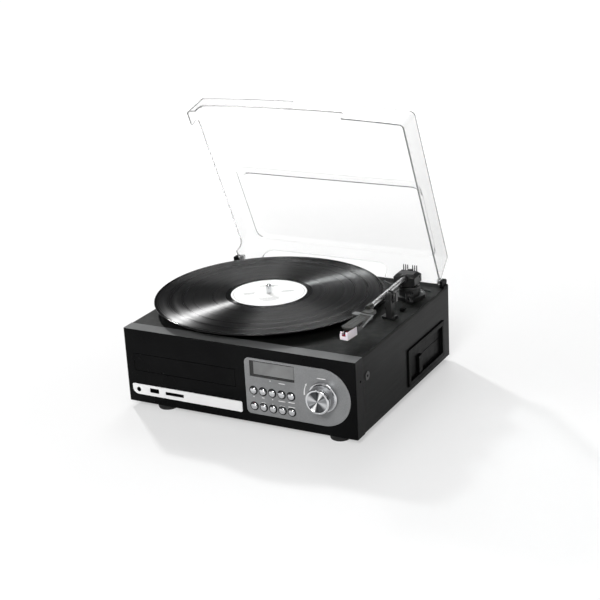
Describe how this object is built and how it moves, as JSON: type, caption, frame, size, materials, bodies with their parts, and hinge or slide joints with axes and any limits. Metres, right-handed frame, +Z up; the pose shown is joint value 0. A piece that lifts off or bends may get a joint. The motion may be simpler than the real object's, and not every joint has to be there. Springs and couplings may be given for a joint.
{
  "type": "record player",
  "caption": "Tabletop record player with a clear hinged cover, tonearm, disc drawer, cassette slot, radio display, round push buttons and a volume knob.",
  "frame": {"origin": "middle of the bottom of the box round the whole part, with the cover open, on the surface that the feet stand on", "axes": "+X to the right as the player is faced, +Y to its back, +Z up"},
  "size_m": [0.3488, 0.3316, 0.3642],
  "materials": {
    "gloss_black": "glossy",
    "satin_wood": "satin",
    "matte_black": "matte",
    "clear_plastic": "clear, glossy",
    "silver_plastic": "satin",
    "chrome": "polished",
    "steel": "satin",
    "rubber": "matte",
    "vinyl": "glossy, grooved",
    "paper": "matte",
    "mat": "matte",
    "pale_plastic": "satin",
    "pink_plastic": "satin",
    "red_plastic": "glossy",
    "display_glass": "glossy",
    "board": "satin"
  },
  "bodies": {
    "cabinet": {"cabinet_shell": "satin_wood", "front_panel": "gloss_black", "deck_plate": "matte_black", "bottom_plate": "matte_black", "feet": "rubber", "base_screws": "steel", "spindle": "chrome", "drive_belt": "rubber", "platter_motor": "steel", "arm_base": "matte_black", "arm_rest": "matte_black", "hinge_brackets": "matte_black", "control_panel": "silver_plastic", "display_window": "display_glass", "control_board": "board", "cd_mechanism": "matte_black", "port_strip": "pale_plastic", "front_sockets": "matte_black", "cassette_bezel": "matte_black", "cassette_mechanism": "matte_black", "headphone_jack": "chrome", "rear_plate": "matte_black", "speaker_jacks": "chrome", "line_jacks": "chrome", "power_inlet": "matte_black", "main_board": "board"},
    "turntable": {"platter": "matte_black", "slip_mat": "mat", "record": "vinyl", "record_label": "paper"},
    "pulley": {"motor_pulley": "steel"},
    "yoke": {"arm_turret": "matte_black", "arm_pin": "steel"},
    "arm": {"arm_hub": "matte_black", "arm_tube": "chrome", "headshell": "matte_black", "finger_lift": "steel", "cartridge": "gloss_black", "stylus": "red_plastic"},
    "guard": {"stylus_guard": "pink_plastic"},
    "cue_lever": {"cue_lever": "matte_black"},
    "cue_platform": {"cue_platform": "matte_black"},
    "clip": {"rest_clip": "matte_black"},
    "speed_switch": {"speed_switch": "matte_black"},
    "stop_switch": {"stop_switch": "matte_black"},
    "cover": {"cover": "clear_plastic"},
    "knob": {"volume_knob": "chrome"},
    "drawer": {"cd_tray": "gloss_black"},
    "flap": {"cassette_flap": "gloss_black"},
    "eject_key": {"eject_key": "matte_black"},
    "button_01": {"button_01": "chrome"},
    "button_02": {"button_02": "chrome"},
    "button_03": {"button_03": "chrome"},
    "button_04": {"button_04": "chrome"},
    "button_05": {"button_05": "chrome"},
    "button_06": {"button_06": "chrome"},
    "button_07": {"button_07": "chrome"},
    "button_08": {"button_08": "chrome"},
    "button_09": {"button_09": "chrome"},
    "button_10": {"button_10": "chrome"}
  },
  "joints": [
    {"name": "platter_spin", "type": "hinge", "parent": "cabinet", "child": "turntable", "pos_m": [-0.0236, 0.00124, 0.1164], "axis": [0, 0, 1], "continuous": true},
    {"name": "pulley_spin", "type": "hinge", "parent": "cabinet", "child": "pulley", "pos_m": [-0.08017, 0.05781, 0.109], "axis": [0, 0, 1], "continuous": true},
    {"name": "arm_swing", "type": "hinge", "parent": "cabinet", "child": "yoke", "pos_m": [0.1404, 0.08474, 0.1187], "axis": [0, 0, 1], "range_deg": [-43, 0]},
    {"name": "arm_lift", "type": "hinge", "parent": "yoke", "child": "arm", "pos_m": [0.1404, 0.08474, 0.135], "axis": [-1, 0, 0], "range_deg": [0, 6]},
    {"name": "guard_slide", "type": "slide", "parent": "arm", "child": "guard", "axis": [-0.0872, -0.9962, 0], "range_m": [0, 0.018]},
    {"name": "cue_lever_turn", "type": "hinge", "parent": "cabinet", "child": "cue_lever", "pos_m": [0.1489, 0.06574, 0.114], "axis": [-0.866, -0.5, 0], "range_deg": [0, 60]},
    {"name": "cue_platform_rise", "type": "slide", "parent": "cabinet", "child": "cue_platform", "axis": [0, 0, 1], "range_m": [0, 0.0037]},
    {"name": "clip_turn", "type": "hinge", "parent": "cabinet", "child": "clip", "pos_m": [0.1484, 0.00474, 0.13], "axis": [0, -1, 0], "range_deg": [0, 90]},
    {"name": "speed_slide", "type": "slide", "parent": "cabinet", "child": "speed_switch", "axis": [0, 1, 0], "range_m": [0, 0.008]},
    {"name": "stop_slide", "type": "slide", "parent": "cabinet", "child": "stop_switch", "axis": [0, 1, 0], "range_m": [0, 0.005]},
    {"name": "cover_hinge", "type": "hinge", "parent": "cabinet", "child": "cover", "pos_m": [0.0094, 0.13649, 0.112], "axis": [-1, 0, 0], "range_deg": [-66, 0]},
    {"name": "volume_turn", "type": "hinge", "parent": "cabinet", "child": "knob", "pos_m": [0.1304, -0.14776, 0.0575], "axis": [0, -1, 0], "range_deg": [-150, 150]},
    {"name": "drawer_slide", "type": "slide", "parent": "cabinet", "child": "drawer", "axis": [0, -1, 0], "range_m": [0, 0.125]},
    {"name": "flap_swing", "type": "hinge", "parent": "cabinet", "child": "flap", "pos_m": [0.1689, 0.07974, 0.0415], "axis": [0, 1, 0], "range_deg": [0, 80], "stiffness_Nm_per_rad": 0.002, "springref_deg": -17.19},
    {"name": "eject_press", "type": "slide", "parent": "cabinet", "child": "eject_key", "axis": [-1, 0, 0], "range_m": [0, 0.003], "stiffness_N_per_m": 300, "springref_m": -0.001},
    {"name": "press_01", "type": "slide", "parent": "cabinet", "child": "button_01", "axis": [0, 1, 0], "range_m": [0, 0.0015], "stiffness_N_per_m": 400, "springref_m": -0.001},
    {"name": "press_02", "type": "slide", "parent": "cabinet", "child": "button_02", "axis": [0, 1, 0], "range_m": [0, 0.0015], "stiffness_N_per_m": 400, "springref_m": -0.001},
    {"name": "press_03", "type": "slide", "parent": "cabinet", "child": "button_03", "axis": [0, 1, 0], "range_m": [0, 0.0015], "stiffness_N_per_m": 400, "springref_m": -0.001},
    {"name": "press_04", "type": "slide", "parent": "cabinet", "child": "button_04", "axis": [0, 1, 0], "range_m": [0, 0.0015], "stiffness_N_per_m": 400, "springref_m": -0.001},
    {"name": "press_05", "type": "slide", "parent": "cabinet", "child": "button_05", "axis": [0, 1, 0], "range_m": [0, 0.0015], "stiffness_N_per_m": 400, "springref_m": -0.001},
    {"name": "press_06", "type": "slide", "parent": "cabinet", "child": "button_06", "axis": [0, 1, 0], "range_m": [0, 0.0015], "stiffness_N_per_m": 400, "springref_m": -0.001},
    {"name": "press_07", "type": "slide", "parent": "cabinet", "child": "button_07", "axis": [0, 1, 0], "range_m": [0, 0.0015], "stiffness_N_per_m": 400, "springref_m": -0.001},
    {"name": "press_08", "type": "slide", "parent": "cabinet", "child": "button_08", "axis": [0, 1, 0], "range_m": [0, 0.0015], "stiffness_N_per_m": 400, "springref_m": -0.001},
    {"name": "press_09", "type": "slide", "parent": "cabinet", "child": "button_09", "axis": [0, 1, 0], "range_m": [0, 0.0015], "stiffness_N_per_m": 400, "springref_m": -0.001},
    {"name": "press_10", "type": "slide", "parent": "cabinet", "child": "button_10", "axis": [0, 1, 0], "range_m": [0, 0.0015], "stiffness_N_per_m": 400, "springref_m": -0.001}
  ],
  "couplings": [
    {"joint": "pulley_spin", "follows": "platter_spin", "ratio": 10},
    {"joint": "cue_lever_turn", "follows": "arm_lift", "ratio": 10},
    {"joint": "cue_platform_rise", "follows": "arm_lift", "m_per_rad": 0.034}
  ]
}
